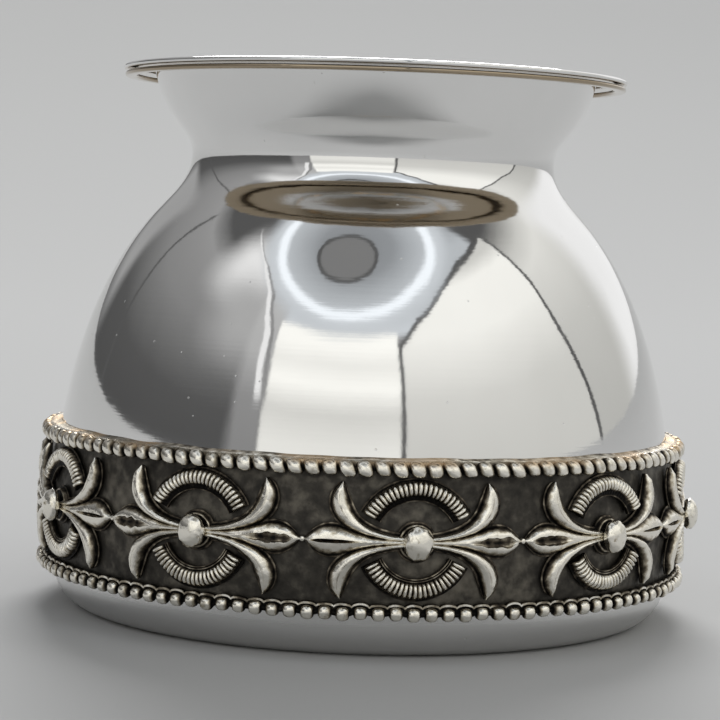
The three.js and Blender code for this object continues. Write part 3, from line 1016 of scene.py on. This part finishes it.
class Sky(Nodes):
    """The world, painted by direction: each coat lies over the ones before it."""

    def __init__(self):
        super().__init__(bpy.data.worlds.new("studio"), "Background")
        turn = self.node("ShaderNodeMapping", Rotation=(0, 0, PHOTO_TURN))
        self.link(self.node("ShaderNodeTexCoord").outputs["Generated"], turn.inputs["Vector"])
        self.direction = turn.outputs["Vector"]
        axes = self.node("ShaderNodeSeparateXYZ")
        self.link(self.direction, axes.inputs["Vector"])
        x, y, z = axes.outputs
        self.azimuth = self.in_degrees(self.math("ARCTAN2", x, self.times(y, -1.0)))
        self.elevation = self.in_degrees(self.math("ARCSINE", z))
        self.light = self.by_elevation(ROOM)

    def in_degrees(self, angle):
        return self.times(angle, 180 / math.pi)

    def quarter(self, angle):
        """An angle as a share of 90 degrees, which is what the ramps run over."""
        return self.math("DIVIDE", angle, 90.0)

    def span(self, value, low, high, soft):
        """1 between two values, with edges that are soft over a width."""
        return self.times(
            self.ease(value, low - soft / 2, low + soft / 2),
            self.fade(value, high - soft / 2, high + soft / 2),
        )

    def tones(self, angle, levels, tint=NEUTRAL):
        """Tinted light whose level follows an angle."""
        stops = [(degrees / 90, tuple(level * c for c in tint)) for degrees, level in levels]
        return self.ramp(self.quarter(angle), stops)

    def by_elevation(self, levels, tint=NEUTRAL):
        return self.tones(self.elevation, levels, tint)

    def curve(self, value, places):
        """Reads a height off a line of (place, height), both in degrees."""
        stops = [(place / 90, grey(height / 90)) for place, height in places]
        return self.times(self.ramp(self.quarter(value), stops), 90.0)

    def angle_from(self, aim):
        """The angle from a direction, in degrees."""
        dot = self.node("ShaderNodeVectorMath", operation="DOT_PRODUCT")
        dot.inputs[1].default_value = toward(*aim)
        self.link(self.direction, dot.inputs[0])
        return self.in_degrees(self.math("ARCCOSINE", dot.outputs["Value"]))

    def coat(self, mask, colour):
        """Paints where the mask is 1."""
        self.light = self.mix(mask, self.light, colour)

    def patch(self, azimuths, elevations, soft, colour):
        """Paints between two azimuths and two elevations; soft is how wide each pair's edges fade."""
        sides = self.span(self.azimuth, *azimuths, soft[0])
        ends = self.span(self.elevation, *elevations, soft[1])
        self.coat(self.times(sides, ends), colour)


def left_lights(sky):
    """A soft glow with a dimmer one below it, a dim wall further back, and a dark joint between."""
    sky.patch(azimuths=(-86, -50), elevations=(40, 58), soft=(24, 14), colour=grey(0.92))
    sky.patch(azimuths=(-72, -41), elevations=(27, 46), soft=(26, 14), colour=grey(0.46))
    sky.patch(azimuths=(-200, -143), elevations=(8, 42), soft=(10, 10), colour=grey(0.36))
    sky.patch(azimuths=(-124.2, -122.8), elevations=(-5, 44), soft=(0.6, 3), colour=JOINT)


def back_panel_and_ceiling(sky):
    """A panel behind on the right with a brighter middle, and the ceiling over the front."""
    panel = sky.by_elevation(BACK_PANEL, WARM)
    ceiling = sky.by_elevation(CEILING, COOL)
    sky.patch(azimuths=(92, 172), elevations=(-5, 56), soft=(1, 6), colour=panel)
    sky.patch(azimuths=(130, 168), elevations=(4, 46), soft=(18, 10), colour=grey(0.95))
    sky.patch(azimuths=(-40, 82), elevations=(38, 90), soft=(8, 2), colour=ceiling)


def right_panel(sky):
    """The large panel with its slanting top, over a slightly larger dark one that shows as its joint."""
    bottom = sky.ease(sky.elevation, -6, -4)
    beside = sky.math("SUBTRACT", sky.azimuth, sky.ease(sky.elevation, 4, 34, start=100, end=92))
    above = sky.math("SUBTRACT", sky.elevation, sky.curve(sky.azimuth, RIGHT_PANEL_TOP))

    def within(left, right, top):
        """1 inside the panel, given where the edges of its left, right and top start and end."""
        sides = sky.times(sky.ease(sky.azimuth, *left), sky.fade(beside, *right))
        return sky.times(sides, sky.fade(above, *top), bottom)

    sky.coat(within(left=(13.9, 14.4), right=(0.6, 1.2), top=(0.7, 1.3)), JOINT)
    panel = sky.by_elevation(RIGHT_PANEL, WARM)
    sky.coat(within(left=(15.5, 16.0), right=(-1.2, -0.6), top=(-1.3, -0.7)), panel)


def centre_panel(sky):
    """The panel in front, with a dimmer border on its left."""
    border = sky.by_elevation(CENTRE_EDGE)
    panel = sky.by_elevation(CENTRE_PANEL, WARM)
    sky.patch(azimuths=(-52, -39), elevations=(4, 44), soft=(5, 2), colour=border)
    sky.patch(azimuths=(-39.5, 14), elevations=(3, 38.6), soft=(1.5, 1.5), colour=panel)


def dim_overhead(sky):
    """A dim part of the ceiling, high up behind the pot."""
    behind = sky.ease(sky.math("ABSOLUTE", sky.azimuth), 112, 130)
    sky.coat(sky.times(behind, sky.ease(sky.elevation, 58, 68)), OVERHEAD)


def ring_lamp(sky, ring):
    """The ring lamp above the lens."""
    sky.coat(sky.fade(ring, 27, 33), sky.tones(ring, RING, COOL))


def left_edge(sky, ring):
    """A pale upright edge to the left of the centre panel, up to the ring, with a dim line beside it."""
    beside = sky.math("ADD", sky.azimuth, sky.curve(sky.elevation, LEFT_EDGE))
    reach = sky.times(sky.span(sky.elevation, 20, 57, soft=4), sky.ease(ring, 26, 27))
    sky.coat(sky.times(sky.span(beside, -1.4, 1.2, soft=0.8), reach), grey(0.95))
    sky.coat(sky.times(sky.span(beside, 1.6, 3.2, soft=0.8), reach), grey(0.28))


def ring_eye(sky):
    """The dark eye in the ring lamp."""
    eye = sky.angle_from(RING_EYE_AIM)
    sky.coat(sky.fade(eye, 10.0, 10.6), sky.tones(eye, RING_EYE))


def world():
    """A dim room with pale panels in front, to the right and overhead, and a ring lamp above the lens."""
    sky = Sky()
    ring = sky.angle_from(RING_AIM)
    left_lights(sky)
    back_panel_and_ceiling(sky)
    right_panel(sky)
    centre_panel(sky)
    dim_overhead(sky)
    ring_lamp(sky, ring)
    left_edge(sky, ring)
    ring_eye(sky)
    sky.feed("Color", sky.light)
    bpy.context.scene.world = sky.owner


def key_lamp():
    """A broad soft lamp above and behind the pot."""
    data = bpy.data.lights.new("key", "SUN")
    data.energy = KEY_STRENGTH
    data.angle = KEY_ANGLE
    made = add_object("key", data)
    aim = Matrix.Rotation(-PHOTO_TURN, 3, "Z") @ toward(*KEY_AIM)
    made.matrix_world = aim.to_track_quat("Z", "Y").to_matrix().to_4x4()


camera()
floor()
world()
key_lamp()

bpy.context.scene.view_settings.view_transform = "Standard"
